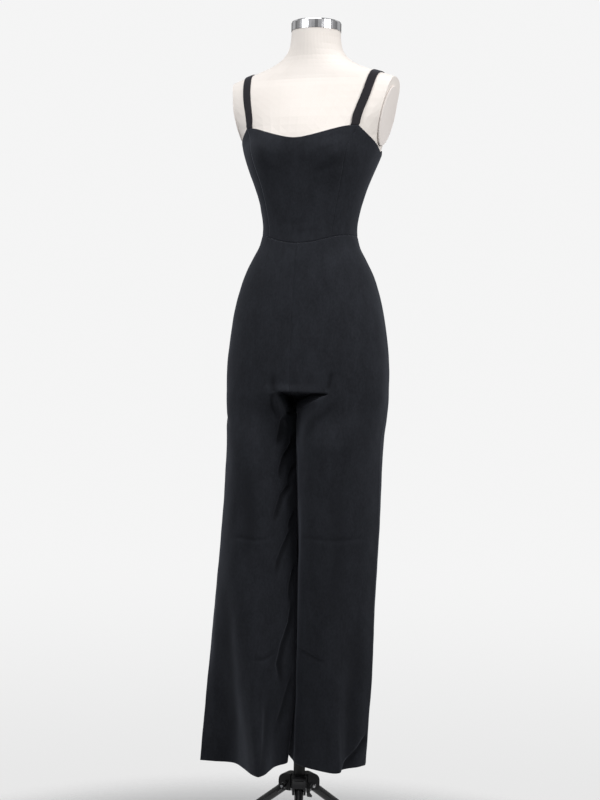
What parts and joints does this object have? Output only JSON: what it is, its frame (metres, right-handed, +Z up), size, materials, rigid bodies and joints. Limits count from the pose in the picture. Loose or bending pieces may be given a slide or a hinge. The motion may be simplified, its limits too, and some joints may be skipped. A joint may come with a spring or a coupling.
{
  "type": "wide-leg jumpsuit on dress form",
  "caption": "Sleeveless wide-leg jumpsuit with thin straps, worn by a limbless dress form on a pole with a folding tripod stand.",
  "frame": {"origin": "on the floor, in the middle of the stand's box; the pole stands beside it at x 0.0692 m, y 0.0406 m", "axes": "+Z up; the wearer faces -Y and the wearer's left is +X"},
  "size_m": [0.7137, 0.7403, 1.9353],
  "materials": {
    "crepe": "matte black crepe",
    "strap_crepe": "matte black crepe, two plies",
    "form_jersey": "cream jersey stretched over the form",
    "plate_jersey": "cream jersey on the arm plates",
    "polished_chrome": "polished",
    "black_steel": "gloss black paint",
    "black_plastic": "satin black",
    "black_rubber": "matte",
    "bright_zinc": "bright zinc plate"
  },
  "bodies": {
    "dressed_form": {"bodice_centre_front": "crepe", "bodice_side_front_left": "crepe", "bodice_side_front_right": "crepe", "bodice_back": "crepe", "trouser_front_left": "crepe", "trouser_front_right": "crepe", "trouser_back_left": "crepe", "trouser_back_right": "crepe", "strap_left": "strap_crepe", "strap_right": "strap_crepe", "form_torso": "form_jersey", "form_arm_plate_left": "plate_jersey", "form_arm_plate_right": "plate_jersey", "neck_cap": "polished_chrome", "pole": "black_steel", "hub": "black_plastic", "wing_nut_1": "black_plastic", "wing_nut_2": "black_plastic", "wing_nut_3": "black_plastic", "hinge_bolt_1": "bright_zinc", "hinge_bolt_2": "bright_zinc", "hinge_bolt_3": "bright_zinc", "washer_1": "bright_zinc", "washer_2": "bright_zinc", "washer_3": "bright_zinc"},
    "leg_1": {"leg_tube_1": "black_steel", "foot_1": "black_rubber"},
    "leg_2": {"leg_tube_2": "black_steel", "foot_2": "black_rubber"},
    "leg_3": {"leg_tube_3": "black_steel", "foot_3": "black_rubber"}
  },
  "joints": [
    {"name": "leg_1_fold", "type": "hinge", "parent": "dressed_form", "child": "leg_1", "pos_m": [0.07867, 0.01318, 0.295], "axis": [0.9455, 0.3256, 0], "range_deg": [0, 52.5]},
    {"name": "leg_2_fold", "type": "hinge", "parent": "dressed_form", "child": "leg_2", "pos_m": [0.08826, 0.06248, 0.295], "axis": [-0.7547, 0.6561, 0], "range_deg": [0, 52.5]},
    {"name": "leg_3_fold", "type": "hinge", "parent": "dressed_form", "child": "leg_3", "pos_m": [0.04076, 0.04613, 0.295], "axis": [-0.1908, -0.9816, 0], "range_deg": [0, 52.5]}
  ]
}
